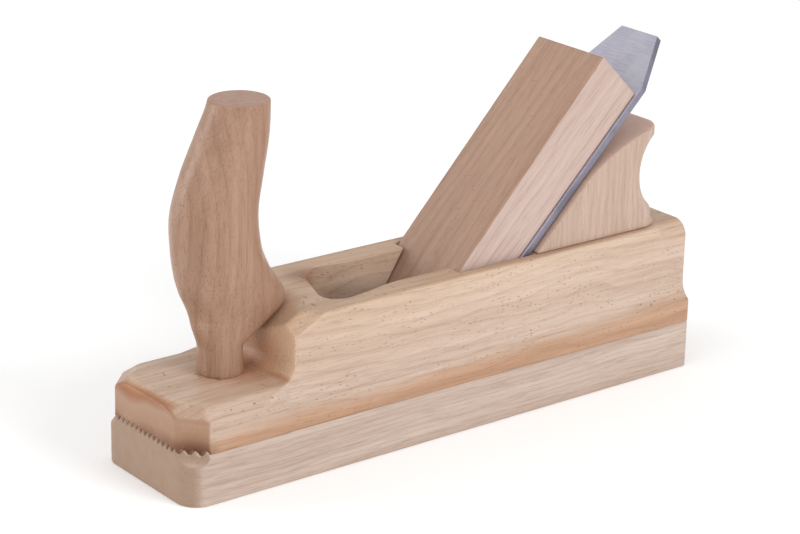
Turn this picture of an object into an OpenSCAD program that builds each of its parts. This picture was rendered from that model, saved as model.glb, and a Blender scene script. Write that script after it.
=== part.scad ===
// Horned wooden smoothing plane: beech body on a hornbeam sole, turned-neck horn,
// rear hand rest, thick wedge and a single tapered-top iron.
// Origin: middle of the sole's underside. +X runs to the heel, +Z up.

/* [Body] */
// Length of the body and the sole
body_len = 240; // [220:1:260]
// Width of the sole and of the body below its coved sides
sole_w = 58; // [56:1:62]
// Height of the body's top above the sole's underside
body_h = 61; // [58:1:64]
// How far each upper side stands in from the sole's side
side_inset = 4; // [3:0.5:5]
// Height of the sharp ridge under the coved sides
ridge_z = 29; // [27:1:30]
// Height where each cove has reached the upper side
cove_z = 36; // [35:1:38]
// Height of the glue line between the sole and the body
glue_z = 20; // [18:1:22]
// Height of the low front platform that the horn stands on
platform_z = 36.5; // [35:0.5:38]
// Length of the platform, from the toe to the riser
platform_len = 48; // [46:1:50]
// Radius of the hollow between the platform and the riser
riser_r = 9; // [6:1:10]

/* [Glue joint] */
// Pitch of the zig-zag glue joint across the width
joint_pitch = 2.9; // [2.5:0.1:4]
// Depth of each zig-zag tooth
joint_depth = 2.4; // [1.5:0.1:3]

/* [Bed and throat] */
// Angle of the bed that the iron lies on, above the sole
bed_angle = 45; // [43:1:50]
// Place of the cutting edge along the body, from the middle
edge_x = -23; // [-25:1:-20]
// Angle of the abutments that the wedge presses on
abutment_angle = 55; // [53:1:57]
// Gap of the mouth in front of the cutting edge
mouth_gap = 1.5; // [1:0.5:4]
// Half width of the throat between the cheeks
cheek_half = 13.5; // [12:0.5:15]

/* [Iron] */
// Width of the iron
iron_w = 39.5; // [36:0.5:42]
// Thickness of the iron
iron_t = 3; // [2.5:0.5:4]
// Length of the iron from its cutting edge to its top
iron_len = 190.5; // [180:0.5:200]
// Length of the iron below its shoulders
shoulder_len = 168; // [160:0.5:172]
// Width of the iron's narrow top
iron_top_w = 20.5; // [15:0.5:24]
// Honing angle of the cutting edge
bevel_angle = 25; // [25:1:35]

/* [Wedge] */
// Width of the wedge
wedge_w = 38; // [35:0.5:39]
// Thickness of the wedge at its top end
wedge_t = 24.7; // [23:0.1:27]
// Taper of the wedge's head
wedge_taper = 2; // [1:0.5:3]
// Place of the wedge's top end, measured up the bed from the edge
wedge_top = 164.5; // [155:0.5:168]

/* [Horn] */
// Diameter of the horn's turned neck
neck_d = 17; // [15:0.5:19]
// Distance of the neck's centre from the toe
neck_from_toe = 32.5; // [30:0.5:34]
// Height of the horn's flat top above the sole's underside
horn_top_z = 137.5; // [132:0.5:140]
// Diameter of the round tenon under the neck
tenon_d = 13; // [10:1:14]
// Depth of the tenon below the platform
tenon_depth = 14; // [10:1:15]

/* [Rear rest] */
// Width of the rear hand rest
rest_w = 44; // [42:1:46]
// Height of the rest's flat top above the sole's underside
rest_top_z = 102.5; // [98:0.5:104]
// Diameter of the hidden dowels under the rest
dowel_d = 8; // [6:1:10]

/* [Hidden] */
$fn = 64;
// How far a cutting shape runs past the surface it cuts
eps = 1;
// Clearance where the wedge and the iron lie against other pieces
fit = 0.05;

toe_x = -body_len / 2;
heel_x = body_len / 2;
riser_x = toe_x + platform_len;
neck_x = toe_x + neck_from_toe;
upper_w = sole_w - 2 * side_inset;
// How far the bed runs back for each millimetre of height
bed_run = 1 / tan(bed_angle);
bed_top_x = edge_x + body_h * bed_run;

// A frame on the bed: X runs up the iron's face from the cutting edge, Y across, Z off the bed
module on_bed() {
    translate([edge_x, 0, 0])
        rotate([0, -bed_angle, 0])
            children();
}

// A slab through the whole width, drawn as an X-Z outline
module across(width) {
    translate([0, width / 2, 0])
        rotate([90, 0, 0])
            linear_extrude(width)
                children();
}

// ---- Body block -------------------------------------------------------------

joint_teeth = round(sole_w / joint_pitch);
joint_step = sole_w / joint_teeth;
function joint_point(i) = [
    -sole_w / 2 + i * joint_step / 2,
    glue_z + (i % 2 == 0 ? -joint_depth / 2 : joint_depth / 2)
];
joint_line = [for (i = [0 : 2 * joint_teeth]) joint_point(i)];

// A Y-Z outline drawn along the body's whole length
module along_body() {
    translate([toe_x, 0, 0])
        rotate([90, 0, 90])
            linear_extrude(body_len)
                children();
}

// Everything above the zig-zag joint, as wide as the sole
module above_joint() {
    along_body()
        polygon(concat(joint_line, [[sole_w / 2, body_h], [-sole_w / 2, body_h]]));
}

cove_drop = cove_z - ridge_z;
cove_r = (side_inset * side_inset + cove_drop * cove_drop) / (2 * side_inset);
bevel_end_x = toe_x + 30;

// The cut that leaves one upper side, with the cove below it
module side_cut(side) {
    cut_len = heel_x - bevel_end_x + eps;
    waste_w = 2 * side_inset;
    translate([bevel_end_x, 0, 0]) {
        translate([0, side * (upper_w / 2 + side_inset) - side_inset, cove_z])
            cube([cut_len, waste_w, body_h]);
        translate([0, side * (upper_w / 2 + cove_r), cove_z])
            rotate([0, 90, 0])
                cylinder(r = cove_r, h = cut_len);
    }
}

// Rounding of the long top edges, and of the same edges behind the rest
top_edge_r = 2.5;
heel_edge_r = 6.5;

// The waste outside one rounded long top edge, from a place on to past the heel
module edge_waste(side, r, from_x) {
    length = heel_x - from_x + eps;
    translate([from_x, side * (upper_w / 2 - r), body_h - r])
        rotate([0, 90, 0])
            difference() {
                translate([-r - eps, side > 0 ? 0 : -r - eps, 0])
                    cube([r + eps, r + eps, length]);
                translate([0, 0, -eps])
                    cylinder(r = r, h = length + 2 * eps);
            }
}

// The bevel's lower edge and width, and the radius at the foot of its conical end
bevel_z = 31.7;
bevel_in = 6.2;
bevel_bit_r = 5;
bevel_rise = platform_z - bevel_z;

// The broad flat bevel along one side of the platform, with its conical end
module platform_bevel(side) {
    ridge_y = side * sole_w / 2;
    lift = 3 * eps;
    slope = bevel_in / bevel_rise;
    translate([toe_x - eps, 0, 0])
        rotate([90, 0, 90])
            linear_extrude(bevel_end_x - toe_x + eps)
                polygon([
                    [ridge_y, bevel_z],
                    [ridge_y - side * slope * (bevel_rise + lift), platform_z + lift],
                    [ridge_y + side * lift, platform_z + lift],
                    [ridge_y + side * lift, bevel_z]
                ]);
    translate([bevel_end_x, ridge_y + side * bevel_bit_r, bevel_z])
        cylinder(
            r1 = bevel_bit_r,
            r2 = bevel_bit_r + slope * (bevel_rise + lift),
            h = bevel_rise + lift
        );
}

// How far each corner facet reaches along the toe and along the side
facet = 9;
// The facets are cut a little way down into the joint's teeth
facet_low_z = glue_z - 1.5;
// The bevel over each facet, and the narrow bevel along the toe between them
facet_bevel_in = 6.7;
toe_bevel_in = 3;
toe_bevel_rise = 2.1;
sole_corner_r = 9;

// The flat corner facet on the body's toe, above the joint
module toe_facet(side) {
    size = facet * sqrt(2);
    translate([toe_x, side * sole_w / 2, facet_low_z])
        rotate([0, 0, 45])
            translate([-size / 2, -size / 2, 0])
                cube([size, size, body_h]);
}

// The bevel that carries on round the platform's corner, over the facet
module facet_bevel(side) {
    slope = facet_bevel_in / bevel_rise;
    lift = 3 * eps;
    translate([toe_x + facet / 2, side * (sole_w - facet) / 2, 0])
        rotate([0, 0, side * -45])
            rotate([90, 0, 0])
                linear_extrude(3 * facet, center = true)
                    polygon([
                        [0, bevel_z],
                        [slope * (bevel_rise + lift), platform_z + lift],
                        [-lift, platform_z + lift],
                        [-lift, bevel_z]
                    ]);
}

// The bevel along the platform's front edge
module toe_top_bevel() {
    slope = toe_bevel_in / toe_bevel_rise;
    across(sole_w + 2 * eps)
        polygon([
            [toe_x - slope * eps, platform_z - toe_bevel_rise - eps],
            [toe_x + toe_bevel_in + slope * eps, platform_z + eps],
            [toe_x - slope * eps, platform_z + eps]
        ]);
}

// The step down to the platform, with the hollow at the foot of the riser
module platform_cut() {
    across(sole_w + 2 * eps)
        difference() {
            translate([toe_x - eps, platform_z])
                square([platform_len + eps, body_h]);
            translate([riser_x - riser_r, platform_z])
                square([riser_r + eps, riser_r]);
        }
    translate([riser_x - riser_r, 0, platform_z + riser_r])
        rotate([90, 0, 0])
            cylinder(r = riser_r, h = sole_w + 2 * eps, center = true);
}

// The dish's lowest height on the riser, and its radius there and at the body's top
seat_low_z = 50.5;
seat_low_r = 15;
seat_high_r = 29.5;
seat_slope = (seat_high_r - seat_low_r) / (body_h - seat_low_z);

// The round dish in the top of the riser that the horn's spur beds in
module horn_seat() {
    translate([neck_x, 0, seat_low_z])
        cylinder(
            r1 = seat_low_r,
            r2 = seat_high_r + seat_slope * eps,
            h = body_h - seat_low_z + eps
        );
}

mouth_front_x = edge_x - mouth_gap;
// A point of the X-Z plane, given up the bed from the edge and off the iron's face
function on_iron(up, off) = [
    edge_x + up * cos(bed_angle) - off * sin(bed_angle),
    up * sin(bed_angle) + off * cos(bed_angle)
];
// X on the front of the wedge's head at a height
wedge_crown = on_iron(wedge_top, wedge_t);
function head_front(z) = wedge_crown[0] - (wedge_crown[1] - z) / tan(bed_angle + wedge_taper);
// The wedge is thinned this much at the body's top by the steeper abutments
wedge_thinning = 0.4;
abutment_top_x = head_front(body_h) + wedge_thinning;
iron_back = iron_t + fit;
slot_side_gap = 0.3;
slot_w = iron_w + 2 * slot_side_gap;

// X on the abutments' face at a height
function abutment_at(z) = abutment_top_x - (body_h - z) / tan(abutment_angle);
// X on the bed under the iron at a height
function bed_at(z) = edge_x + iron_back / sin(bed_angle) + z * bed_run;

// Height where the abutments end and the throat opens to the iron's full width
chamber_z = 34;
// The throat's front wall there, and lower down where it crosses the glue joint
chamber_front_x = mouth_front_x - 10;
joint_front_x = mouth_front_x - 5;
slot_low_z = glue_z - joint_depth;
slot_high_z = body_h + eps;

// The slot for the iron and the wedge, from above the body down to the joint
module wedge_slot() {
    across(slot_w)
        polygon([
            [bed_at(slot_low_z), slot_low_z],
            [bed_at(slot_high_z), slot_high_z],
            [abutment_at(slot_high_z), slot_high_z],
            [abutment_at(slot_low_z), slot_low_z]
        ]);
}

// The space below the abutments that leads down to the mouth
module throat_chamber() {
    across(slot_w)
        polygon([
            [bed_at(slot_low_z), slot_low_z],
            [bed_at(chamber_z), chamber_z],
            [chamber_front_x, chamber_z],
            [joint_front_x, slot_low_z]
        ]);
}

// How far the front wall leans back, in degrees, and where it starts at the body's top
throat_lean = 30;
throat_front_x = toe_x + 69;
// Half the throat's greatest width
throat_half = 19.5;
// How far the far end of the front wall is set back
throat_skew = 13;
// The cut corner at the near end of the front wall, and the straight wall behind it
throat_corner = 2;
throat_near_from = 6;
throat_near_to = 11;
// How far behind the front wall the sides have narrowed to the cheeks
throat_narrowed = 29;

// The shavings' way out in front of the abutments: a skew front wall that leans
// back, wide at the front and narrowed to the cheeks behind
module throat_hollow() {
    depth = body_h;
    squash = cos(throat_lean);
    back = abutment_top_x - throat_front_x + 4 * eps;
    intersection() {
        translate([throat_front_x, 0, body_h])
            rotate([0, -throat_lean, 0])
                translate([0, 0, -depth])
                    linear_extrude(2 * depth)
                        polygon([
                            [0, -cheek_half],
                            [throat_corner * squash, throat_corner - throat_half],
                            [throat_near_from * squash, -throat_half],
                            [throat_near_to * squash, -throat_half],
                            [throat_narrowed * squash, -cheek_half],
                            [back * squash, -cheek_half],
                            [back * squash, cheek_half],
                            [throat_narrowed * squash, cheek_half],
                            [throat_skew * squash, throat_half]
                        ]);
        translate([throat_front_x, -throat_half, chamber_z - eps])
            cube([body_len, 2 * throat_half, body_h]);
    }
}

// The hole that the horn's tenon is glued into
module tenon_bore() {
    translate([neck_x, 0, platform_z - tenon_depth])
        cylinder(d = tenon_d, h = tenon_depth + eps);
}

// The body: everything above the glue joint but the horn and the rest
module body_block() {
    color("burlywood")
        difference() {
            above_joint();
            for (side = [-1, 1]) {
                side_cut(side);
                edge_waste(side, top_edge_r, riser_x - eps);
                edge_waste(side, heel_edge_r, rest_back_x);
                platform_bevel(side);
                toe_facet(side);
                facet_bevel(side);
            }
            platform_cut();
            toe_top_bevel();
            horn_seat();
            wedge_slot();
            throat_chamber();
            throat_hollow();
            tenon_bore();
            rest_dowel_pair();
        }
}

// ---- Sole -------------------------------------------------------------------

// Height of the upright front of the mouth
mouth_land = 4;

// The mouth, open from the glue joint down through the sole's underside
module mouth() {
    low = -eps;
    high = glue_z + joint_depth;
    across(slot_w)
        polygon([
            [bed_at(low), low],
            [bed_at(high), high],
            [joint_front_x, high],
            [mouth_front_x, mouth_land],
            [mouth_front_x, low]
        ]);
}

// The waste outside one upright front corner of the sole
module sole_corner_waste(side) {
    r = sole_corner_r;
    height = glue_z + joint_depth + 2 * eps;
    translate([toe_x + r, side * (sole_w / 2 - r), -eps])
        difference() {
            translate([-r - eps, side > 0 ? 0 : -r - eps, 0])
                cube([r + eps, r + eps, height]);
            translate([0, 0, -eps])
                cylinder(r = r, h = height + 2 * eps);
        }
}

// The hornbeam sole, with the joint's teeth on its top and the mouth through it
module sole() {
    color("wheat")
        difference() {
            along_body()
                polygon(concat(joint_line, [[sole_w / 2, 0], [-sole_w / 2, 0]]));
            mouth();
            for (side = [-1, 1])
                sole_corner_waste(side);
        }
}

// ---- Horn -------------------------------------------------------------------

neck_r = neck_d / 2;
// Stations up the horn: height, centre from the toe, half length, half width
horn_stations = [
    [platform_z, neck_from_toe, neck_r, neck_r],
    [47, neck_from_toe, neck_r, neck_r],
    [51, 35, 12.5, 8.8],
    [55, 37.5, 16.5, 9.2],
    [59, 39.5, 19.5, 10],
    [63, 39, 20.4, 10.8],
    [68, 36.5, 20.2, 11.6],
    [74, 33.4, 18.8, 12.8],
    [83, 30.8, 17.3, 13.8],
    [97, 29.9, 16.6, 13.9],
    [112, 33.4, 15.5, 13.3],
    [125, 37.6, 13.6, 12.3],
    [horn_top_z, 40.6, 11.2, 11]
];
horn_sides = 32;
horn_steps = 3;
station_count = len(horn_stations);

// A smooth curve through the stations, for one of their values
function station(i) = horn_stations[max(0, min(station_count - 1, i))];
function catmull(a, b, c, d, t) =
    0.5 * (2 * b + (c - a) * t + (2 * a - 5 * b + 4 * c - d) * t * t
        + (3 * b - a - 3 * c + d) * t * t * t);
function horn_section(i, t) = catmull(station(i - 1), station(i), station(i + 1), station(i + 2), t);
horn_sections = concat(
    [for (i = [0 : station_count - 2], k = [0 : horn_steps - 1]) horn_section(i, k / horn_steps)],
    [station(station_count - 1)]
);
function horn_ring(s) = [
    for (k = [0 : horn_sides - 1])
        let (a = 360 * k / horn_sides)
            [toe_x + s[1] + s[2] * cos(a), s[3] * sin(a), s[0]]
];

// The horn above the platform: oval sections through the stations
module horn_grip() {
    rings = len(horn_sections);
    points = [for (s = horn_sections) each horn_ring(s)];
    sides = [
        for (j = [0 : rings - 2], k = [0 : horn_sides - 1])
            let (n = (k + 1) % horn_sides, a = j * horn_sides, b = a + horn_sides)
                [a + n, a + k, b + k, b + n]
    ];
    bottom = [for (k = [0 : horn_sides - 1]) k];
    top = [for (k = [horn_sides - 1 : -1 : 0]) (rings - 1) * horn_sides + k];
    polyhedron(points = points, faces = concat(sides, [bottom, top]), convexity = 6);
}

// The body's top and riser where the horn is scribed to them
module riser_mass() {
    depth = upper_w;
    difference() {
        across(depth)
            difference() {
                translate([riser_x - riser_r, platform_z])
                    square([depth, body_h - platform_z]);
                translate([riser_x - riser_r - eps, platform_z + riser_r])
                    square([riser_r + eps, body_h]);
            }
        translate([riser_x - riser_r, 0, platform_z + riser_r])
            rotate([90, 0, 0])
                cylinder(r = riser_r, h = depth + 2 * eps, center = true);
        horn_seat();
    }
}

// The horn with its tenon, the spur scribed to the dish in the riser
module horn() {
    color("peru")
        difference() {
            union() {
                horn_grip();
                translate([neck_x, 0, platform_z - tenon_depth])
                    cylinder(d = tenon_d, h = tenon_depth + eps);
            }
            riser_mass();
        }
}

// ---- Rear rest --------------------------------------------------------------

rest_back_x = toe_x + 227.5;
rest_corner_r = 10;
// The hollow for the web of the hand across the rest's back
rest_hollow_r = 18.3;
rest_hollow_deep = 6.7;
rest_hollow_x = rest_back_x - rest_hollow_deep + rest_hollow_r;
rest_hollow_z = body_h + 21.7;
// The rounded brow over the bed: distance back from the bed's line, and drop from the top
brow_points = [[0, 5.8], [2.6, 3.2], [6.7, 1.6], [12.5, 0.6], [18, 0]];
// The rest stands this far clear of the iron's back
rest_gap = 0.8;
rest_front_shift = rest_gap / sin(bed_angle);
// How far each dowel reaches up and down from the body's top
dowel_reach = 12;
dowel_places = [bed_top_x + 29, bed_top_x + 52];

// The two hidden dowels, half in the rest and half in the body
module rest_dowel_pair() {
    for (x = dowel_places)
        translate([x, 0, body_h - dowel_reach])
            cylinder(d = dowel_d, h = 2 * dowel_reach);
}

// The waste outside one upright rear corner of the rest
module rest_corner_waste(side) {
    r = rest_corner_r;
    height = rest_top_z - body_h + 2 * eps;
    translate([rest_back_x - r, side * (rest_w / 2 - r), body_h - eps])
        difference() {
            translate([0, side > 0 ? 0 : -r - eps, 0])
                cube([r + eps, r + eps, height]);
            translate([0, 0, -eps])
                cylinder(r = r, h = height + 2 * eps);
        }
}

// The block behind the iron that the palm bears on
module rear_rest() {
    brow_x = bed_at(rest_top_z - brow_points[0][1]) + rest_front_shift;
    color("burlywood")
        difference() {
            across(rest_w)
                polygon(concat(
                    [[bed_at(body_h) + rest_front_shift, body_h]],
                    [for (p = brow_points) [brow_x + p[0], rest_top_z - p[1]]],
                    [[rest_back_x, rest_top_z], [rest_back_x, body_h]]
                ));
            translate([rest_hollow_x, 0, rest_hollow_z])
                rotate([90, 0, 0])
                    cylinder(r = rest_hollow_r, h = rest_w + 2 * eps, center = true);
            for (side = [-1, 1])
                rest_corner_waste(side);
            rest_dowel_pair();
        }
}

// The dowels that hold the rest on the body
module rest_dowels() {
    color("tan")
        rest_dowel_pair();
}

// ---- Wedge ------------------------------------------------------------------

// X on the wedge's front face at a height, just behind the abutments' face
function wedge_front(z) = abutment_at(z) + fit;

// The thin end of the wedge, up the bed from the edge, and its thickness there
wedge_tip_up = 15;
wedge_tip_t = 2;

// Height where the head's front meets the steeper front below it
wedge_kink_z = body_h
    + (wedge_thinning + fit) / (1 / tan(bed_angle + wedge_taper) - 1 / tan(abutment_angle));

// The wedge: a thick tapered head, a steeper front under the abutments and a thin tip
module wedge() {
    color("navajowhite")
        across(wedge_w)
            polygon([
                on_iron(wedge_tip_up, fit),
                on_iron(wedge_top, fit),
                wedge_crown,
                [head_front(wedge_kink_z), wedge_kink_z],
                [wedge_front(chamber_z), chamber_z],
                on_iron(wedge_tip_up, wedge_tip_t)
            ]);
}

// ---- Iron -------------------------------------------------------------------

// The iron, face on the bed's line, with a ground bevel and a tapered top
module iron() {
    bevel_len = iron_t / tan(bevel_angle);
    color("lightsteelblue")
        on_bed()
            difference() {
                translate([0, 0, -iron_t])
                    linear_extrude(iron_t)
                        polygon([
                            [0, -iron_w / 2],
                            [shoulder_len, -iron_w / 2],
                            [iron_len, -iron_top_w / 2],
                            [iron_len, iron_top_w / 2],
                            [shoulder_len, iron_w / 2],
                            [0, iron_w / 2]
                        ]);
                across(iron_w + 2 * eps)
                    polygon([
                        [-eps, -iron_t - eps],
                        [bevel_len * (1 + eps / iron_t), -iron_t - eps],
                        [0, 0],
                        [-eps, 0]
                    ]);
            }
}

body_block();
sole();
horn();
rear_rest();
rest_dowels();
wedge();
iron();
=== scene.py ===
"""Looks of a horned wooden smoothing plane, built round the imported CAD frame.

Shapes are worked out in millimetres in the frame's own axes: +X to the heel, +Y to the
far side, +Z up. A wooden piece is a rounded solid field that is meshed once; the iron is
a bevelled plate. Every material is procedural.
"""
import math

import bmesh
import bpy
import numpy as np
import openvdb as vdb
from mathutils import Euler, Matrix, Vector


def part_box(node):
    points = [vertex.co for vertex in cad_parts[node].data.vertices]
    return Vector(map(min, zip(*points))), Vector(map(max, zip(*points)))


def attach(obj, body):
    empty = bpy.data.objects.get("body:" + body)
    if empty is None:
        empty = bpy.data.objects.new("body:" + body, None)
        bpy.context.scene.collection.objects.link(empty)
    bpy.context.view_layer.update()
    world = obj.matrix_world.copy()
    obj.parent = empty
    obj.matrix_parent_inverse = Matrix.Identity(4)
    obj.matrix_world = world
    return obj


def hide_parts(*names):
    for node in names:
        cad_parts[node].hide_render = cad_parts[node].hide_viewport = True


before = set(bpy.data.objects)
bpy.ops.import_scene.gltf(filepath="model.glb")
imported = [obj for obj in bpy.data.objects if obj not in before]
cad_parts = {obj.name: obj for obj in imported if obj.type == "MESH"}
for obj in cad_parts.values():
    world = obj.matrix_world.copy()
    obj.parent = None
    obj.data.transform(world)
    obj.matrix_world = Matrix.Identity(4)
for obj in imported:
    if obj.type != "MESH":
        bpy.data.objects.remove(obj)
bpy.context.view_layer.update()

MM = 0.001


# ---- Sizes, from the frame --------------------------------------------------

def node_box_mm(node):
    """Lowest and highest corner of a CAD node, in millimetres."""
    low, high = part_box(node)
    return np.array(low) / MM, np.array(high) / MM


body_low, body_high = node_box_mm("body_block")
sole_low, sole_high = node_box_mm("sole")
rest_low, rest_high = node_box_mm("rear_rest")
wedge_high = node_box_mm("wedge")[1]
iron_low, iron_high = node_box_mm("iron")
horn_low, horn_high = node_box_mm("horn")
dowel_low, dowel_high = node_box_mm("rest_dowels")

TOE = body_low[0]
HEEL = body_high[0]
HALF_W = body_high[1]
TOP = body_high[2]
JOINT_DEPTH = sole_high[2] - body_low[2]
GLUE = (sole_high[2] + body_low[2]) / 2

SIDE_INSET = 4.0
UPPER_HALF = HALF_W - SIDE_INSET
RIDGE = 29.0
COVE_TOP = 36.0
PLATFORM = 36.5
RISER = TOE + 48.0
RISER_R = 6.5
NECK_X = TOE + 32.5
TENON_R = 6.5
TENON_LOW = horn_low[2]
DOWEL_R = dowel_high[1]
DOWEL_X = (dowel_low[0] + DOWEL_R, dowel_high[0] - DOWEL_R)
BED = math.radians(45.0)
ABUTMENT = math.radians(55.0)
EDGE_X = iron_low[0]
IRON_T = 3.0
IRON_HALF = iron_high[1]
WEDGE_HALF = wedge_high[1]
WEDGE_T = 24.7
WEDGE_TOP = 164.5
HEAD = math.radians(47.0)
CROWN_X = EDGE_X + WEDGE_TOP * math.cos(BED) - WEDGE_T * math.sin(BED)
CROWN_Z = WEDGE_TOP * math.sin(BED) + WEDGE_T * math.cos(BED)
ABUTMENT_X = CROWN_X - (CROWN_Z - TOP) / math.tan(HEAD) + 0.4
CHEEK = 13.5
SLOT_HALF = IRON_HALF + 0.3
CHAMBER = 34.0
FIT = 0.05
GLUE_GAP = 0.03
TOOTH_PITCH = 2.9

# Roundings of the body's long top edges, before and behind the rest's back, and of the
# throat's rim, at the sides and at the front's far part
EDGE_R = 1.4
HEEL_EDGE_R = 6.5
REST_BACK = 100.0
RIM_R = 0.7
FRONT_RIM_R = 3.5

# The throat's front wall, its flare, the lean of the abutments' lip, and the mouth
RIM_X = TOE + 68.5
RIM_SKEW = 13.5
RIM_FROM_Y = -15.0
RIM_SPAN = 34.0
WALL_FOOT = EDGE_X - 2.5
WALL_SWELL = 5.0
WALL_LEAN = 0.85
FLARE = 4.4
FLARE_FULL_X = -46.0
FLARE_END_X = -16.0
LIP_Z = 46.0
LIP_LEAN = 0.07
THROAT_CORNER = 8.0
MOUTH_GAP = 1.5
MOUTH_LAND = 4.0
MOUTH_SLOPE = 0.28

# The dish in the riser that the horn's spur sits in
SEAT_R = 15.0
SEAT_Z = 50.5
SEAT_SLOPE = 1.381
SEAT_SCALE = 0.586

# The hand rest's hollow back, its gap behind the iron and its roundings
REST_GAP = 0.8
REST_HOLLOW_R = 18.3
REST_HOLLOW_X = 11.6
REST_HOLLOW_Z = TOP + 21.7
REST_BROW_R = 18.0
REST_CORNER_R = 10.0
REST_FOOT_R = 6.0

# The iron and its ground bevel
IRON_LEN = 190.5
SHOULDER = 168.0
IRON_TOP_HALF = 10.25
GRIND = math.radians(25.0)

# The wedge's hidden lower end, up the bed and off the iron
WEDGE_START = 15.0
WEDGE_TIP = 2.0


# ---- Rounded solids ---------------------------------------------------------

def both(a, b, r=0.0):
    """Where two solids overlap; the edge between them is rounded to r."""
    if np.isscalar(r) and r <= 0:
        return np.maximum(a, b)
    corner = np.hypot(np.maximum(a + r, 0), np.maximum(b + r, 0))
    return np.minimum(-r, np.maximum(a, b)) + corner


def either(a, b, r=0.0):
    """Two solids together; the hollow corner between them is filled to r."""
    return -both(-a, -b, r)


def cut(a, b, r=0.0):
    """The first solid without the second; the new edge is rounded to r."""
    return both(a, -b, r)


def smooth(low, high, value):
    """0 below low and 1 above high, with a soft change between."""
    t = np.clip((value - low) / (high - low), 0, 1)
    return t * t * (3 - 2 * t)


def grid_axes(low, high, step):
    """Sample places along each axis, one step past the box on each side."""
    counts = np.ceil((np.array(high) - np.array(low)) / step).astype(int) + 5
    start = np.array(low) - 2 * step
    x, y, z = np.ogrid[0:counts[0], 0:counts[1], 0:counts[2]]
    return start, start[0] + x * step, start[1] + y * step, start[2] + z * step


def solid_mesh(name, field, low, high, step, adaptivity=0.0, place=None):
    """A mesh object of the surface where field(x, y, z) is zero; place moves it in mm."""
    start, x, y, z = grid_axes(low, high, step)
    values = field(x, y, z).astype(np.float32)
    values = np.clip(values, -3 * step, 3 * step)
    volume = vdb.FloatGrid(3 * step)
    volume.copyFromArray(np.ascontiguousarray(values))
    points, triangles, quads = volume.convertToPolygons(isovalue=0.0, adaptivity=adaptivity)
    points = points * step + start
    faces = [f[::-1] for f in triangles.tolist()] + [f[::-1] for f in quads.tolist()]
    mesh = bpy.data.meshes.new(name)
    mesh.from_pydata((points * MM).tolist(), [], faces)
    if place is not None:
        mesh.transform(place)
    mesh.validate()
    mesh.shade_smooth()
    piece = bpy.data.objects.new(name, mesh)
    bpy.context.scene.collection.objects.link(piece)
    return piece


# ---- Body and sole ----------------------------------------------------------

def plane_line(x, z, angle, through_x, through_z):
    """Signed distance from a sloping plane in X-Z; positive above and in front of it."""
    return (z - through_z) * math.cos(angle) - (x - through_x) * math.sin(angle)


def bed_plane(x, z):
    """Signed distance above the bed, which lies a hair under the iron."""
    return plane_line(x, z, BED, EDGE_X, 0) + IRON_T + FIT


TEETH = round(2 * HALF_W / TOOTH_PITCH)


def joint_height(y):
    """Height of the zig-zag glue joint across the width."""
    phase = (y + HALF_W) / (2 * HALF_W) * TEETH
    saw = np.abs(2 * (phase - np.floor(phase)) - 1)
    return GLUE + JOINT_DEPTH * (0.5 - saw)


BEVEL_END = TOE + 31.0
BEVEL_LOW = 31.7
BEVEL_IN = 6.2
BEVEL_RISE = PLATFORM - BEVEL_LOW
RUNOUT = 0.15
RUNOUT_STOP = RISER - 3.0
COVE_FADE = 0.25
FACET = 9.0
FACET_BEVEL_IN = 6.7
SOLE_CORNER_R = 9.0
SCOOP_LOW = 1.5
SCOOP_R = 4.0
TOE_BEVEL_IN = 3.0
TOE_BEVEL_DROP = 2.1


def sloped(past, up, run, rise):
    """Signed distance from a bevel that leans in by run over its rise."""
    return (past * rise + up * run) / math.hypot(run, rise)


def side_field(x, y, z):
    """The two long sides: bevelled at the platform, coved behind the bevel's runout."""
    out = np.abs(y)
    drop = COVE_TOP - RIDGE
    cove_r = (SIDE_INSET ** 2 + drop ** 2) / (2 * SIDE_INSET)
    cove = cove_r - np.hypot(out - UPPER_HALF - cove_r, z - COVE_TOP)
    skirt = both(both(out - HALF_W, cove, 0.7), z - COVE_TOP)
    coved = np.minimum(out - UPPER_HALF, skirt)
    bevel = sloped(out - HALF_W, z - BEVEL_LOW, BEVEL_IN, BEVEL_RISE)
    past = x - BEVEL_END + (PLATFORM - z) * 0.6
    runout = bevel - RUNOUT * np.maximum(past, 0) - 8 * np.maximum(x - RUNOUT_STOP, 0)
    rear = coved - COVE_FADE * np.maximum(RUNOUT_STOP - x, 0)
    return both(both(out - HALF_W, runout, 0.5), rear, 0.5)


def facet_field(x, y):
    """The flat cut across each upright toe corner."""
    return (np.abs(y) - HALF_W - (x - TOE) + FACET) / math.sqrt(2)


def abutment_face(x, z):
    """Signed distance in front of the abutments' face."""
    return plane_line(x, z, ABUTMENT, ABUTMENT_X, TOP)


def dowel_bores(x, y, z):
    """The bores for the two dowels under the rest."""
    near = np.minimum(np.abs(x - DOWEL_X[0]), np.abs(x - DOWEL_X[1]))
    middle = (dowel_low[2] + dowel_high[2]) / 2
    reach = middle - dowel_low[2] + 2 * FIT
    return both(np.hypot(near, y) - DOWEL_R - FIT, np.abs(z - middle) - reach)


def throat_field(x, y, z):
    """The hollow through the body: wedge slot, shavings' way out and chamber."""
    bed = bed_plane(x, z)
    front = abutment_face(x, z) - LIP_LEAN * np.maximum(z - LIP_Z, 0)
    slot = both(both(np.abs(y) - SLOT_HALF, -bed), front)
    depth = (TOP - z) / TOP
    rim = RIM_X + RIM_SKEW * np.clip((y - RIM_FROM_Y) / RIM_SPAN, 0, 1.1)
    swell = WALL_SWELL * np.sin(np.pi * np.clip(depth, 0, 1))
    wall = rim + (WALL_FOOT - rim) * np.clip(depth, -0.2, 1) - swell
    ahead = (wall - x) * WALL_LEAN
    lean_x = x - (TOP - z) * 0.5
    half = CHEEK + FLARE * (1 - smooth(FLARE_FULL_X, FLARE_END_X, lean_x))
    hollow = both(both(np.abs(y) - half, ahead, THROAT_CORNER), -bed)
    chamber = both(both(np.abs(y) - SLOT_HALF, z - CHAMBER), ahead)
    chamber = both(chamber, -bed)
    return slot, np.minimum(hollow, chamber)


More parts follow.
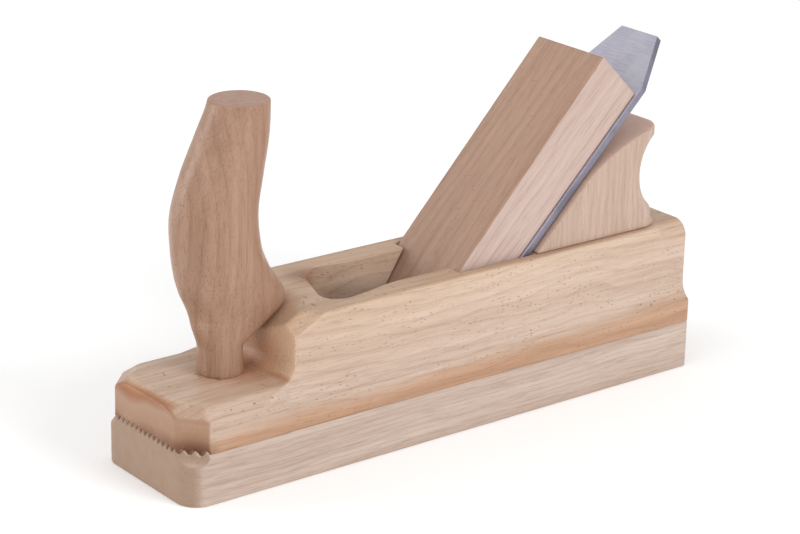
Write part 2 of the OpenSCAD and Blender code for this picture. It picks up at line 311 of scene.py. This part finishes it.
def body_field(x, y, z):
    """The beech body above the glue joint."""
    solid = side_field(x, y, z)
    solid = both(solid, TOE - x, 1.0)
    edge_r = EDGE_R + (HEEL_EDGE_R - EDGE_R) * smooth(REST_BACK, REST_BACK + 10, x)
    solid = both(solid, z - TOP, edge_r)
    solid = both(solid, x - HEEL, 0.6)
    toe_bevel = sloped(TOE - x, z - PLATFORM + TOE_BEVEL_DROP, TOE_BEVEL_IN, TOE_BEVEL_DROP)
    facet = facet_field(x, y)
    facet_bevel = sloped(facet, z - BEVEL_LOW, FACET_BEVEL_IN, BEVEL_RISE)
    corner = both(both(facet, facet_bevel, 1.2), toe_bevel, 1.5)
    solid = both(solid, corner, 0.9)
    step = either(z - PLATFORM, RISER - x, RISER_R)
    solid = both(solid, step, 0.9)
    seat_r = SEAT_R + (z - SEAT_Z) * SEAT_SLOPE
    seat = (seat_r - np.hypot(x - NECK_X, y)) * SEAT_SCALE
    solid = both(solid, seat, 1.0)
    slot, hollow = throat_field(x, y, z)
    at_front = (1 - smooth(-44, -36, x)) * smooth(-15, -5, y)
    opening = either(slot, hollow, 0.6)
    solid = cut(solid, opening, RIM_R + (FRONT_RIM_R - RIM_R) * at_front)
    mortise = both(np.hypot(x - NECK_X, y) - TENON_R - FIT, TENON_LOW - 2 * FIT - z)
    solid = cut(solid, np.minimum(mortise, dowel_bores(x, y, z)))
    return both(solid, joint_height(y) + GLUE_GAP - z)


def sole_field(x, y, z):
    """The hornbeam sole under the glue joint."""
    out = np.abs(y)
    solid = both(out - HALF_W, TOE - x, SOLE_CORNER_R)
    solid = both(solid, x - HEEL, 0.8)
    solid = both(solid, -z, 0.5)
    scoop = facet_field(x, y) - np.maximum(GLUE - SCOOP_LOW - z, 0) ** 2 / SCOOP_R
    solid = both(solid, scoop, 0.6)
    mouth_front = EDGE_X - MOUTH_GAP - np.maximum(z - MOUTH_LAND, 0) * MOUTH_SLOPE
    mouth = both(both(out - SLOT_HALF, -bed_plane(x, z)), mouth_front - x)
    solid = cut(solid, mouth, 0.3)
    return both(solid, z - joint_height(y) + GLUE_GAP)


# ---- Horn -------------------------------------------------------------------

# Height, centre from the toe, half length and half width, up the horn
HORN_STATIONS = np.array([
    [PLATFORM, 32.5, 8.5, 8.5],
    [47, 32.5, 8.5, 8.5],
    [51, 35, 12.5, 8.8],
    [55, 37.5, 16.5, 9.2],
    [59, 39.5, 19.5, 10],
    [63, 39, 20.4, 10.8],
    [68, 36.5, 20.2, 11.6],
    [74, 33.4, 18.8, 12.8],
    [83, 30.8, 17.3, 13.8],
    [97, 29.9, 16.6, 13.9],
    [112, 33.4, 15.5, 13.3],
    [125, 37.6, 13.6, 12.3],
    [137.5, 40.6, 11.2, 11],
])
SHAVED_AT = math.radians(38)
SHAVED_DEPTH = 1.3


def through_stations(stations, z):
    """Smooth curves through the stations, at the given heights."""
    heights = stations[:, 0]
    place = np.interp(z, heights, np.arange(len(heights)))
    i = np.clip(place.astype(int), 0, len(heights) - 2)
    t = (place - i)[..., None]
    p = stations[:, 1:]
    a = p[np.maximum(i - 1, 0)]
    b = p[i]
    c = p[i + 1]
    d = p[np.minimum(i + 2, len(heights) - 1)]
    curve = 0.5 * (2 * b + (c - a) * t + (2 * a - 5 * b + 4 * c - d) * t ** 2
                   + (3 * b - a - 3 * c + d) * t ** 3)
    return curve[..., 0], curve[..., 1], curve[..., 2]


def horn_field(x, y, z):
    """The horn above the platform, its spur scribed to the dish in the riser."""
    centre, a, b = through_stations(HORN_STATIONS, z)
    centre = centre + TOE
    round_part = (np.hypot((x - centre) / a, y / b) - 1) * np.minimum(a, b)
    reach = np.hypot(a * math.cos(SHAVED_AT), b * math.sin(SHAVED_AT))
    shaved = (centre - x) * math.cos(SHAVED_AT) - y * math.sin(SHAVED_AT) - reach
    depth = SHAVED_DEPTH * smooth(55.5, 58.5, z) * (1 - smooth(92, 131, z)) - 0.6
    round_part = both(round_part, shaved + depth, 1.0)
    solid = both(round_part, z - horn_high[2], 0.8)
    solid = both(solid, PLATFORM - z)
    tenon = both(np.hypot(x - NECK_X, y) - TENON_R, z - PLATFORM - 2)
    return np.minimum(solid, both(tenon, TENON_LOW - z, 0.5))


# ---- Rest and wedge ---------------------------------------------------------

def rest_field(x, y, z):
    """The hand rest: bed-side slope, rounded brow, nose, hollow back and flared foot."""
    back = rest_high[0]
    half = rest_high[1]
    top = rest_high[2]
    slope = bed_plane(x, z) + REST_GAP
    hollow = REST_HOLLOW_R - np.hypot(x - back - REST_HOLLOW_X, z - REST_HOLLOW_Z)
    rear = either(both(x - back, hollow, 1.5), z - TOP, REST_FOOT_R)
    outline = both(slope, z - top, REST_BROW_R)
    plan = both(np.abs(y) - half, rear, REST_CORNER_R)
    solid = both(outline, plan, 0.8)
    solid = cut(solid, dowel_bores(x, y, z))
    return both(solid, TOP + 0.15 - z, 0.3)


def wedge_field(u, y, v):
    """The wedge in the bed's own frame: u up the bed, v off the iron."""
    taper = HEAD - BED
    head = (v - WEDGE_T) * math.cos(taper) - (u - WEDGE_TOP) * math.sin(taper)
    from_edge = ABUTMENT_X + FIT - EDGE_X
    top_u = from_edge * math.cos(BED) + TOP * math.sin(BED)
    top_v = TOP * math.cos(BED) - from_edge * math.sin(BED)
    lean = ABUTMENT - BED
    front = (v - top_v) * math.cos(lean) - (u - top_u) * math.sin(lean)
    down = (TOP - CHAMBER) / math.sin(ABUTMENT)
    low_u = top_u - down * math.cos(lean)
    low_v = top_v - down * math.sin(lean)
    toe_lean = math.atan2(low_v - WEDGE_TIP, low_u - WEDGE_START)
    toe = (v - low_v) * math.cos(toe_lean) - (u - low_u) * math.sin(toe_lean)
    solid = both(both(head, front), toe, 0.5)
    solid = both(solid, FIT - v, 0.6)
    solid = both(solid, u - WEDGE_TOP, 0.9)
    solid = both(solid, WEDGE_START - u, 0.3)
    return both(solid, np.abs(y) - WEDGE_HALF, 0.6)


def bed_frame():
    """The matrix from the bed's own frame to the row frame."""
    place = Matrix.Translation((EDGE_X * MM, 0, 0))
    return place @ Matrix.Rotation(-BED, 4, "Y")


# ---- Iron -------------------------------------------------------------------

def make_iron():
    """The tapered-top plate with its honed edge, every edge slightly broken."""
    bevel = IRON_T / math.tan(GRIND)
    outline = [(0, -IRON_HALF), (SHOULDER, -IRON_HALF), (IRON_LEN, -IRON_TOP_HALF),
               (IRON_LEN, IRON_TOP_HALF), (SHOULDER, IRON_HALF), (0, IRON_HALF)]
    bm = bmesh.new()
    front = [bm.verts.new((u, y, 0)) for u, y in outline]
    back = [bm.verts.new((max(u, bevel), y, -IRON_T)) for u, y in outline]
    bm.faces.new(front)
    bm.faces.new(back[::-1])
    for i in range(len(outline)):
        j = (i + 1) % len(outline)
        bm.faces.new((front[j], front[i], back[i], back[j]))
    bmesh.ops.recalc_face_normals(bm, faces=bm.faces)
    bmesh.ops.bevel(bm, geom=list(bm.edges), offset=0.3, segments=2, profile=0.6, affect="EDGES")
    mesh = bpy.data.meshes.new("iron_plate")
    bm.to_mesh(mesh)
    bm.free()
    mesh.transform(Matrix.Scale(MM, 4))
    mesh.transform(bed_frame())
    piece = bpy.data.objects.new("iron_plate", mesh)
    bpy.context.scene.collection.objects.link(piece)
    return piece


# ---- Dowels -----------------------------------------------------------------

def make_dowels():
    """Two fluted dowels with chamfered ends."""
    flutes, flute_depth, around = 12, 0.2, 96
    chamfer, end_share = 0.9, 0.82
    low, high = dowel_low[2], dowel_high[2]
    levels = ((low, end_share), (low + chamfer, 1.0), (high - chamfer, 1.0), (high, end_share))
    bm = bmesh.new()
    for place in DOWEL_X:
        rings = []
        for z, share in levels:
            ring = []
            for i in range(around):
                turn = 2 * math.pi * i / around
                groove = max(0.0, math.cos(flutes * turn + math.pi)) ** 2
                radius = DOWEL_R * share - flute_depth * groove
                corner = (place + radius * math.cos(turn), radius * math.sin(turn), z)
                ring.append(bm.verts.new(corner))
            rings.append(ring)
        for lower, upper in zip(rings, rings[1:]):
            for i in range(around):
                j = (i + 1) % around
                bm.faces.new((lower[i], lower[j], upper[j], upper[i]))
        bm.faces.new(rings[0][::-1])
        bm.faces.new(rings[-1])
    mesh = bpy.data.meshes.new("rest_dowel_pair")
    bm.to_mesh(mesh)
    bm.free()
    mesh.transform(Matrix.Scale(MM, 4))
    piece = bpy.data.objects.new("rest_dowel_pair", mesh)
    bpy.context.scene.collection.objects.link(piece)
    return piece


# ---- Materials --------------------------------------------------------------

def srgb(red, green, blue):
    """A colour given as 0-255 screen values, as linear values."""
    def linear(value):
        value = value / 255
        return value / 12.92 if value <= 0.04045 else ((value + 0.055) / 1.055) ** 2.4
    return (linear(red), linear(green), linear(blue), 1.0)


class Shader:
    """One material and a short way to add nodes to it."""

    def __init__(self, name):
        self.material = bpy.data.materials.new(name)
        self.material.use_nodes = True
        self.nodes = self.material.node_tree.nodes
        self.links = self.material.node_tree.links
        self.surface = self.nodes["Principled BSDF"]
        self.coords = self.nodes.new("ShaderNodeTexCoord")

    def put(self, socket, value):
        """Links an output to the socket, or sets the socket's value."""
        if isinstance(value, bpy.types.NodeSocket):
            self.links.new(value, socket)
        else:
            socket.default_value = value

    def add(self, kind, inputs, out=0, **settings):
        """A node with its settings and inputs; returns one of its outputs."""
        node = self.nodes.new(kind)
        for key, value in settings.items():
            setattr(node, key, value)
        for key, value in inputs.items():
            self.put(node.inputs[key], value)
        return node.outputs[out]

    def finish(self, **inputs):
        """Sets the surface's inputs; an underscore in a name stands for a space."""
        for key, value in inputs.items():
            self.put(self.surface.inputs[key.replace("_", " ")], value)
        return self.material

    def stretch(self, vector, scale, offset=(0, 0, 0)):
        """The vector times a scale on each axis, moved by an offset."""
        return self.add("ShaderNodeMapping", {"Vector": vector, "Scale": scale, "Location": offset})

    def noise(self, vector, detail=3.0, roughness=0.5, out=0):
        """Soft noise, about 0.2 to 0.8."""
        return self.add("ShaderNodeTexNoise", {"Vector": vector, "Scale": 1.0, "Detail": detail,
                                               "Roughness": roughness}, out)

    def ranged(self, value, low, high, to_low=0.0, to_high=1.0):
        """The value mapped smoothly from one range to another."""
        return self.add("ShaderNodeMapRange",
                        {"Value": value, "From Min": low, "From Max": high,
                         "To Min": to_low, "To Max": to_high},
                        interpolation_type="SMOOTHSTEP")

    def maths(self, operation, a, b):
        return self.add("ShaderNodeMath", {0: a, 1: b}, operation=operation)

    def mix(self, factor, a, b, how="MIX"):
        """Two colours mixed by a factor."""
        node = self.nodes.new("ShaderNodeMix")
        node.data_type = "RGBA"
        node.blend_type = how
        self.put(node.inputs[0], factor)
        self.put(node.inputs[6], a)
        self.put(node.inputs[7], b)
        return node.outputs[2]

    def ramp(self, value, stops):
        """Colours along a value: stops of place and colour."""
        node = self.nodes.new("ShaderNodeValToRGB")
        elements = node.color_ramp.elements
        while len(elements) < len(stops):
            elements.new(0.5)
        for element, (place, colour) in zip(elements, stops):
            element.position = place
            element.color = colour
        self.put(node.inputs[0], value)
        return node.outputs[0]


# How far the growth lines wander, in mm, and how fast the coloured layers rise to the heel
SWAY = 14.0
LAYER_RISE = 0.03


def wood(name, light, dark, turn=(0, 0, 0), pith=(0, 60, 20), ring_gap=3.5, ring_depth=0.35,
         flecks=0.35, fleck_colour=(150, 100, 70), fleck_size=1.0, streak=0.5, end=None,
         layers=None, end_layers=None, painted_shade_and_dark_spots=(), painted_shade_by_facing=(), roughness=0.55, pores=0.4, seed=0.0):
    """A close-grained hardwood. The grain runs along X after the turn; sizes are in mm.

    light and dark are the wood between and at the growth lines, pith is where the tree's
    middle lies, layers and end_layers colour the long and the end grain by height. Each
    facing entry multiplies the faces that look one way darker, as painted shade; each point
    entry multiplies what lies near a point darker, as painted shade or a darker spot in the wood.
    """
    s = Shader(name)

    def by_height(level, lowest, highest, stops):
        """Colours by height, between the lowest and the highest."""
        level = s.add("ShaderNodeMapRange",
                      {"Value": level, "From Min": lowest, "From Max": highest})
        return s.ramp(level, stops)

    def facing(direction):
        """The cosine between the surface's normal and a direction."""
        return s.add("ShaderNodeVectorMath", {0: s.coords.outputs["Normal"], 1: direction}, 1,
                     operation="DOT_PRODUCT")

    place = s.add("ShaderNodeMapping", {"Vector": s.coords.outputs["Object"],
                                        "Scale": (1000, 1000, 1000), "Rotation": turn})
    sway = s.noise(s.stretch(place, (0.012, 0.03, 0.03), (seed, seed, 0)), 2.0, out=1)
    sway = s.add("ShaderNodeVectorMath", {0: sway, 1: (SWAY, SWAY, SWAY)}, operation="MULTIPLY")
    grown = s.add("ShaderNodeVectorMath", {0: place, 1: sway}, operation="ADD")
    height = s.maths("SUBTRACT", s.add("ShaderNodeSeparateXYZ", {0: grown}, 2), SWAY / 2)

    ring_vector = s.stretch(grown, (0.02, 1, 1), (0, pith[1], pith[2]))
    rings = s.add("ShaderNodeTexWave",
                  {"Vector": ring_vector, "Scale": 0.314 / ring_gap, "Distortion": 1.5, "Detail": 2.0,
                   "Detail Scale": 0.6},
                  1, wave_type="RINGS", rings_direction="X", wave_profile="SAW")
    ring_line = s.ranged(rings, 0.55, 0.98)
    streaks = s.noise(s.stretch(place, (0.008, 0.22, 0.22), (seed, 0, seed)), 5.0, 0.6)
    base = s.ramp(streaks, [(0.3, light), (0.7, dark)])
    base = s.mix(streak, light, base)
    if layers:
        from_toe = s.maths("SUBTRACT", s.add("ShaderNodeSeparateXYZ", {0: place}, 0), TOE)
        level = s.maths("SUBTRACT", height, s.maths("MULTIPLY", from_toe, LAYER_RISE))
        base = s.mix(1.0, base, by_height(level, *layers), "MULTIPLY")
    ring_amount = s.maths("MULTIPLY", ring_line, ring_depth)
    base = s.mix(ring_amount, base, dark, "MULTIPLY")

    fibre = s.noise(s.stretch(place, (0.10, 2.6, 2.6), (0, seed, 0)), 3.0, 0.6)
    base = s.mix(s.ranged(fibre, 0.45, 0.75, 0.0, 0.35), base, dark, "MULTIPLY")

    fleck_vector = s.stretch(grown, (0.42 / fleck_size, 0.10, 1.7 / fleck_size), (seed, 0, 0))
    cells = s.nodes.new("ShaderNodeTexVoronoi")
    s.put(cells.inputs["Vector"], fleck_vector)
    s.put(cells.inputs["Scale"], 1.0)
    chosen = s.add("ShaderNodeSeparateColor", {0: cells.outputs["Color"]}, 0)
    chosen = s.ranged(chosen, flecks + 0.1, flecks - 0.1)
    spot = s.ranged(cells.outputs["Distance"], 0.30, 0.10)
    fleck = s.maths("MULTIPLY", spot, chosen)
    clumps = s.noise(s.stretch(place, (0.03, 0.05, 0.12), (0, 0, seed)), 2.0)
    fleck = s.maths("MULTIPLY", fleck, s.ranged(clumps, 0.35, 0.6, 0.15, 1.0))
    base = s.mix(s.maths("MULTIPLY", fleck, 0.75), base, srgb(*fleck_colour))

    if end:
        along = s.maths("ABSOLUTE", facing(end["grain"]), 0.0)
        along = s.ranged(along, end.get("from", 0.25), end.get("to", 0.68), 0.0, end["amount"])
        tint = end["colour"]
        if end_layers:
            tint = by_height(height, *end_layers)
        pore = s.noise(s.stretch(place, (0.3, 3.2, 1.4), (0, 0, seed)), 2.0, 0.7)
        tint = s.mix(s.ranged(pore, 0.42, 0.7, 0.0, 0.5), tint, end["pore"])
        base = s.mix(along, base, tint)

    # Painted shade: faces that look one way are multiplied darker
    for direction, low, high, colour in painted_shade_by_facing:
        facing_shaded = s.mix(1.0, base, colour, "MULTIPLY")
        base = s.mix(s.ranged(facing(direction), low, high), base, facing_shaded)
    # Painted shade, and darker spots of the wood, multiplied in round given points
    for centre, radius, colour in painted_shade_and_dark_spots:
        centre = Euler(turn).to_matrix() @ Vector(centre)
        away = s.add("ShaderNodeVectorMath", {0: place, 1: centre}, 1, operation="DISTANCE")
        darkened_near_point = s.mix(1.0, base, colour, "MULTIPLY")
        base = s.mix(s.ranged(away, radius, 0.0), base, darkened_near_point)

    grain_bump = s.add("ShaderNodeBump", {"Height": fibre, "Strength": pores, "Distance": 0.00015})
    fleck_bump = s.nodes.new("ShaderNodeBump")
    fleck_bump.invert = True
    s.put(fleck_bump.inputs["Height"], fleck)
    s.put(fleck_bump.inputs["Strength"], 0.4)
    s.put(fleck_bump.inputs["Distance"], 0.0001)
    s.put(fleck_bump.inputs["Normal"], grain_bump)
    rough = s.ranged(streaks, 0.3, 0.7, roughness - 0.06, roughness + 0.08)
    return s.finish(Base_Color=base, Roughness=rough, Normal=fleck_bump.outputs[0],
                    Specular_IOR_Level=0.35)


ALONG_X = (1.0, 0.0, 0.0)
UP = (0.0, 0.0, 1.0)
OFF_BED = (-math.sin(BED), 0.0, math.cos(BED))
UPRIGHT = (0.0, math.radians(90), 0.0)

beech = wood(
    "beech_body_finish", srgb(206, 187, 172), srgb(178, 153, 134), pith=(0, 70, -10), ring_gap=3.0,
    ring_depth=0.16, flecks=0.5, fleck_colour=(120, 78, 54), fleck_size=1.15, streak=0.8,
    layers=(18, 62, [(0.0, srgb(230, 203, 180)), (0.09, srgb(240, 218, 198)),
                     (0.19, srgb(252, 250, 250)), (0.6, srgb(252, 248, 244)),
                     (1.0, srgb(250, 240, 226))]),
    end={"grain": ALONG_X, "amount": 0.95, "colour": srgb(190, 150, 120), "pore": srgb(150, 108, 82)},
    end_layers=(17, 62, [(0.0, srgb(98, 58, 34)), (0.08, srgb(116, 72, 44)),
                         (0.17, srgb(156, 118, 92)), (0.30, srgb(164, 130, 106)),
                         (0.37, srgb(144, 86, 42)), (0.43, srgb(160, 102, 54)),
                         (0.47, srgb(211, 178, 150)), (1.0, srgb(211, 178, 150))]),
    # Painted shade in the throat's front far corner and deeper down the throat; the dark growth band
    # low on both toe facets; darker and warmer round the horn's foot on the platform
    painted_shade_and_dark_spots=(((-42, 9, 55), 15, srgb(150, 96, 66)),
            ((-34, 0, 40), 22, srgb(186, 136, 100)),
            ((-116, -26, 18), 12, srgb(166, 134, 112)),
            ((-116, 26, 18), 12, srgb(166, 134, 112)),
            ((-80, 0, 38), 26, srgb(238, 200, 168))),
    # Painted shade: faces that look up are made a little darker
    painted_shade_by_facing=((UP, 0.6, 0.95, srgb(255, 250, 244)),),
    roughness=0.38)
hornbeam = wood(
    "hornbeam_sole_finish", srgb(196, 178, 165), srgb(172, 150, 136), pith=(0, 20, 90), ring_gap=2.0,
    ring_depth=0.14, flecks=0.10, fleck_colour=(150, 122, 104), streak=0.9,
    end={"grain": ALONG_X, "amount": 0.9, "colour": srgb(156, 129, 108), "pore": srgb(132, 104, 84)},
    roughness=0.6, seed=3.0)
horn_wood = wood(
    "beech_horn_finish", srgb(168, 134, 112), srgb(144, 108, 86), turn=UPRIGHT, pith=(0, 30, 25),
    ring_gap=4.0, ring_depth=0.12, flecks=0.55, fleck_colour=(122, 82, 60), fleck_size=0.8, streak=0.8,
    end={"grain": UP, "amount": 0.8, "from": 0.5, "to": 0.95, "colour": srgb(172, 136, 118),
         "pore": srgb(150, 112, 94)},
    roughness=0.36, seed=7.0)
rest_wood = wood(
    "beech_rest_finish", srgb(190, 166, 151), srgb(170, 142, 125), turn=UPRIGHT, pith=(0, 10, 60),
    ring_gap=3.0, ring_depth=0.14, flecks=0.12, streak=0.8,
    end={"grain": UP, "amount": 0.8, "from": 0.4, "to": 0.9, "colour": srgb(204, 172, 156),
         "pore": srgb(180, 146, 126)},
    seed=11.0)
wedge_wood = wood(
    "beech_wedge_finish", srgb(195, 174, 164), srgb(174, 146, 133), turn=(0, BED, 0), pith=(0, 70, 6),
    ring_gap=4.0, ring_depth=0.14, flecks=0.45, fleck_colour=(172, 138, 122), fleck_size=0.6,
    streak=0.6,
    # Painted shade: the wedge's faces that look away from the iron are made darker
    painted_shade_by_facing=((OFF_BED, 0.5, 0.8, srgb(232, 216, 199)),),
    seed=17.0)
dowel_wood = wood(
    "beech_dowel_finish", srgb(212, 184, 160), srgb(192, 160, 134), turn=UPRIGHT, ring_gap=3.0,
    seed=23.0)


def steel(name):
    """Ground tool steel: brushed across its bright face, dark on its edges."""
    s = Shader(name)
    place = s.add("ShaderNodeMapping", {"Vector": s.coords.outputs["Object"],
                                        "Scale": (1000, 1000, 1000), "Rotation": (0, BED, 0)})
    brushed = s.noise(s.stretch(place, (3.5, 0.12, 1.0)), 4.0, 0.7)
    smear = s.noise(s.stretch(place, (0.06, 0.09, 0.05)), 3.0, 0.6)
    facing = s.add("ShaderNodeVectorMath", {0: s.coords.outputs["Normal"], 1: OFF_BED}, 1,
                   operation="DOT_PRODUCT")
    facing = s.ranged(s.maths("ABSOLUTE", facing, 0.0), 0.75, 0.98)
    bright = s.mix(s.ranged(brushed, 0.35, 0.7), srgb(204, 201, 214), srgb(176, 174, 190))
    bright = s.mix(s.ranged(smear, 0.4, 0.7, 0.0, 0.5), bright, srgb(208, 208, 216))
    dark = s.mix(s.ranged(smear, 0.3, 0.7), srgb(118, 116, 130), srgb(142, 139, 154))
    colour = s.mix(facing, dark, bright)
    rough = s.ranged(brushed, 0.3, 0.7, 0.36, 0.5)
    bump = s.add("ShaderNodeBump", {"Height": brushed, "Strength": 0.15, "Distance": 0.00005})
    return s.finish(Base_Color=colour, Metallic=0.85, Roughness=rough, Normal=bump)


steel_material = steel("tool_steel_finish")


# ---- Pieces -----------------------------------------------------------------

STEP = 0.5

body = solid_mesh("beech_body", body_field, body_low, body_high, STEP, 0.01)
sole = solid_mesh("hornbeam_sole", sole_field, sole_low, sole_high, STEP, 0.01)
horn = solid_mesh("horn_grip", horn_field, horn_low, horn_high, STEP)
rest = solid_mesh("hand_rest", rest_field, rest_low, rest_high, STEP, 0.01)
wedge = solid_mesh("wedge_block", wedge_field, (WEDGE_START, -WEDGE_HALF, 0),
                   (WEDGE_TOP, WEDGE_HALF, WEDGE_T), STEP, 0.01, bed_frame())
iron = make_iron()
dowels = make_dowels()

for piece, body_name, node, slot, material in (
    (body, "body", "body_block", "beech_body", beech),
    (sole, "body", "sole", "hornbeam_sole", hornbeam),
    (horn, "body", "horn", "beech_horn", horn_wood),
    (rest, "body", "rear_rest", "beech_rest", rest_wood),
    (dowels, "body", "rest_dowels", "beech_dowel", dowel_wood),
    (wedge, "wedge", "wedge", "beech_wedge", wedge_wood),
    (iron, "iron", "iron", "tool_steel", steel_material),
):
    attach(piece, body_name)
    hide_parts(node)
    piece.data.materials.append(material)


# ---- Stage ------------------------------------------------------------------

def make_stage():
    """A pale floor, a soft white surround and studio lamps."""
    scene = bpy.context.scene
    scene.view_settings.view_transform = "Standard"
    world = bpy.data.worlds.new("surround")
    scene.world = world
    world.use_nodes = True
    background = world.node_tree.nodes["Background"]
    background.inputs["Color"].default_value = (1, 1, 1, 1)
    background.inputs["Strength"].default_value = 0.7
    bpy.ops.mesh.primitive_plane_add(size=8)
    floor = bpy.context.object
    floor.name = "floor"
    white = Shader("pale_floor")
    floor.data.materials.append(white.finish(
        Base_Color=(0.9, 0.9, 0.9, 1), Roughness=0.9,
        Emission_Color=(1, 1, 1, 1), Emission_Strength=0.16))

    def lamp(name, place, aim, size, power):
        data = bpy.data.lights.new(name, "AREA")
        data.size = size
        data.energy = power
        lamp_object = bpy.data.objects.new(name, data)
        lamp_object.location = place
        lamp_object.rotation_euler = (Vector(aim) - Vector(place)).to_track_quat("-Z", "Y").to_euler()
        scene.collection.objects.link(lamp_object)

    lamp("key", (0.55, -1.8, 1.0), (0, 0, 0.05), 1.0, 22.5)
    lamp("fill", (-1.4, -0.4, 0.9), (0, 0, 0.05), 1.0, 4)
    lamp("sheen", (-1.2, 1.1, 0.5), (0, 0, 0.08), 0.9, 9)


def make_camera():
    """The camera, turned round the object and rolled a little, with a long lens."""
    turn, lift, roll = math.radians(-38.44), math.radians(19.87), math.radians(1.43)
    back = Vector((math.sin(turn) * math.cos(lift), -math.cos(turn) * math.cos(lift), math.sin(lift)))
    right = (-back).cross(Vector((0, 0, 1))).normalized()
    up = right.cross(-back)
    rolled_right = math.cos(roll) * right + math.sin(roll) * up
    rolled_up = -math.sin(roll) * right + math.cos(roll) * up
    place = Vector((-0.5684, -0.7089, 0.3867))
    data = bpy.data.cameras.new("camera")
    data.sensor_width = 36
    data.lens = 114.87
    data.clip_end = 20
    camera = bpy.data.objects.new("camera", data)
    axes = Matrix((rolled_right, rolled_up, back)).transposed().to_4x4()
    camera.matrix_world = Matrix.Translation(place) @ axes
    bpy.context.scene.collection.objects.link(camera)
    bpy.context.scene.camera = camera


make_stage()
make_camera()
